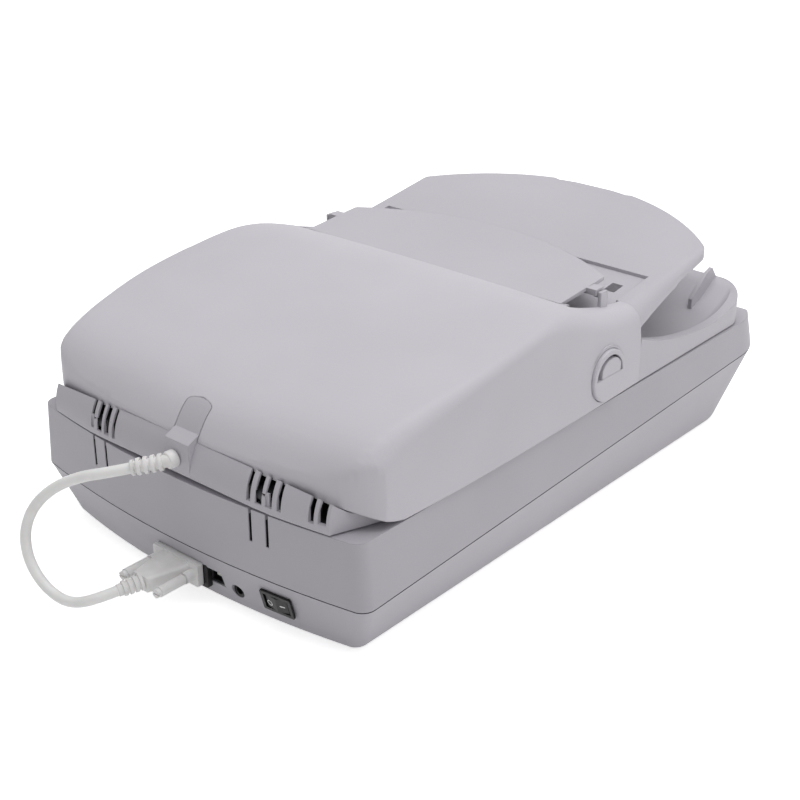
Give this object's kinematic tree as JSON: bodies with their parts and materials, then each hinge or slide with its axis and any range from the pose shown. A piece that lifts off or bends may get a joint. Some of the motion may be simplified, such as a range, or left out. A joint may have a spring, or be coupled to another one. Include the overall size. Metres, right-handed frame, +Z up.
{
  "type": "document scanner",
  "caption": "Flatbed document scanner with a domed sheet feeder lid on hinge arms, an inclined input tray over an output tray, a feed knob and a looped lid cable.",
  "frame": {"origin": "middle of the base's footprint, on the surface that the feet stand on", "axes": "+X to the operator's right, +Y towards the hinges and sockets, +Z up"},
  "size_m": [0.3116, 0.5883, 0.1743],
  "materials": {
    "base_plastic": "fine moulded texture",
    "lid_plastic": "fine moulded texture",
    "cover_plastic": "fine moulded texture",
    "tray_plastic": "fine moulded texture",
    "foot_rubber": "matt",
    "clear_glass": "polished",
    "polished_steel": "ground",
    "belt_rubber": "matt",
    "white_nylon": "moulded",
    "plated_steel": "plated",
    "circuit_board": "solder mask",
    "dark_plastic": "fine moulded texture",
    "lamp_glass": "frosted",
    "switch_plastic": "satin",
    "socket_shell": "nickel plated",
    "plug_plastic": "soft moulded",
    "cord_jacket": "smooth jacket",
    "hinge_plastic": "moulded",
    "white_pad": "smooth",
    "roller_rubber": "matt",
    "button_plastic": "fine moulded texture"
  },
  "bodies": {
    "base": {"base_lower_housing": "base_plastic", "base_feet": "foot_rubber", "base_upper_housing": "base_plastic", "platen_glass": "clear_glass", "strip_glass": "clear_glass", "guide_rod": "polished_steel", "drive_belt": "belt_rubber", "pulley_axle": "polished_steel", "carriage_motor": "plated_steel", "main_board": "circuit_board", "power_switch": "switch_plastic", "usb_socket": "socket_shell", "dc_jack": "switch_plastic", "feeder_socket": "socket_shell", "plug_hood": "plug_plastic", "feeder_cord": "cord_jacket"},
    "carriage": {"scan_carriage": "dark_plastic", "carriage_lamp": "lamp_glass"},
    "idler_wheel": {"idler_pulley": "white_nylon"},
    "motor_wheel": {"motor_pulley": "white_nylon"},
    "rocker": {"power_rocker": "switch_plastic"},
    "screw_left": {"thumbscrew_left": "plug_plastic"},
    "screw_right": {"thumbscrew_right": "plug_plastic"},
    "hinge_slide": {"hinge_arm_left": "hinge_plastic", "hinge_arm_right": "hinge_plastic"},
    "lid": {"lid_lower_body": "lid_plastic", "hinge_pins": "polished_steel", "top_cover": "cover_plastic", "input_tray": "tray_plastic", "output_tray": "tray_plastic", "backing_pad": "white_pad", "side_frame_left": "hinge_plastic", "side_frame_right": "hinge_plastic", "feed_belt": "belt_rubber", "turn_belt": "belt_rubber", "feeder_motor": "plated_steel", "paper_guide": "dark_plastic", "upper_guide": "dark_plastic", "strain_relief": "plug_plastic"},
    "hatch": {"access_hatch": "tray_plastic"},
    "exit_roller_set": {"exit_shaft": "polished_steel", "exit_rollers": "roller_rubber", "feed_knob": "cover_plastic"},
    "feed_roller_set": {"feed_shaft": "polished_steel", "feed_rollers": "roller_rubber"},
    "turn_roller_set": {"turn_shaft": "polished_steel", "turn_rollers": "roller_rubber"},
    "extension": {"tray_extension": "tray_plastic"},
    "button_1": {"front_button_1": "button_plastic"},
    "button_2": {"front_button_2": "button_plastic"},
    "button_3": {"front_button_3": "button_plastic"},
    "button_4": {"front_button_4": "button_plastic"}
  },
  "joints": [
    {"name": "carriage_travel", "type": "slide", "parent": "base", "child": "carriage", "axis": [0, -1, 0], "range_m": [0, 0.32]},
    {"name": "idler_turn", "type": "hinge", "parent": "base", "child": "idler_wheel", "pos_m": [-0.112, -0.196, 0.043], "axis": [0, 0, 1], "continuous": true},
    {"name": "motor_turn", "type": "hinge", "parent": "base", "child": "motor_wheel", "pos_m": [-0.112, 0.216, 0.043], "axis": [0, 0, 1], "continuous": true},
    {"name": "rocker_tilt", "type": "hinge", "parent": "base", "child": "rocker", "pos_m": [-0.08416, 0.24546, 0.0255], "axis": [-0.0288, 0.2848, 0.9582], "range_deg": [-8, 8]},
    {"name": "screw_left_turn", "type": "hinge", "parent": "base", "child": "screw_left", "pos_m": [0.0176, 0.2546, 0.0225], "axis": [0, 1, 0], "continuous": true},
    {"name": "screw_right_turn", "type": "hinge", "parent": "base", "child": "screw_right", "pos_m": [-0.0156, 0.2546, 0.0225], "axis": [0, 1, 0], "continuous": true},
    {"name": "hinge_lift", "type": "slide", "parent": "base", "child": "hinge_slide", "axis": [0, 0, 1], "range_m": [0, 0.015]},
    {"name": "lid_hinge", "type": "hinge", "parent": "hinge_slide", "child": "lid", "pos_m": [0, 0.25, 0.1], "axis": [-1, 0, 0], "range_deg": [0, 70], "deforming": ["feeder_cord", "strain_relief"]},
    {"name": "hatch_hinge", "type": "hinge", "parent": "lid", "child": "hatch", "pos_m": [0, 0.002, 0.1603], "axis": [-1, 0, 0], "range_deg": [0, 85]},
    {"name": "knob_turn", "type": "hinge", "parent": "lid", "child": "exit_roller_set", "pos_m": [0, -0.011, 0.113], "axis": [1, 0, 0], "continuous": true},
    {"name": "feed_turn", "type": "hinge", "parent": "lid", "child": "feed_roller_set", "pos_m": [0, 0.012, 0.136], "axis": [1, 0, 0], "continuous": true},
    {"name": "paper_turn", "type": "hinge", "parent": "lid", "child": "turn_roller_set", "pos_m": [0, 0.165, 0.112], "axis": [1, 0, 0], "continuous": true},
    {"name": "extension_pull", "type": "slide", "parent": "lid", "child": "extension", "axis": [0, -0.9902, 0.1396], "range_m": [0, 0.06]},
    {"name": "button_1_press", "type": "slide", "parent": "base", "child": "button_1", "axis": [0, 0.7071, -0.7071], "range_m": [0, 0.0012], "stiffness_N_per_m": 300, "springref_m": -0.001},
    {"name": "button_2_press", "type": "slide", "parent": "base", "child": "button_2", "axis": [0, 0.7071, -0.7071], "range_m": [0, 0.0012], "stiffness_N_per_m": 300, "springref_m": -0.001},
    {"name": "button_3_press", "type": "slide", "parent": "base", "child": "button_3", "axis": [0, 0.7071, -0.7071], "range_m": [0, 0.0012], "stiffness_N_per_m": 300, "springref_m": -0.001},
    {"name": "button_4_press", "type": "slide", "parent": "base", "child": "button_4", "axis": [0, 0.7071, -0.7071], "range_m": [0, 0.0012], "stiffness_N_per_m": 300, "springref_m": -0.001}
  ],
  "couplings": [
    {"joint": "idler_turn", "follows": "carriage_travel", "rad_per_m": -125},
    {"joint": "motor_turn", "follows": "carriage_travel", "rad_per_m": -125},
    {"joint": "feed_turn", "follows": "knob_turn", "ratio": 1},
    {"joint": "paper_turn", "follows": "knob_turn", "ratio": 1}
  ]
}
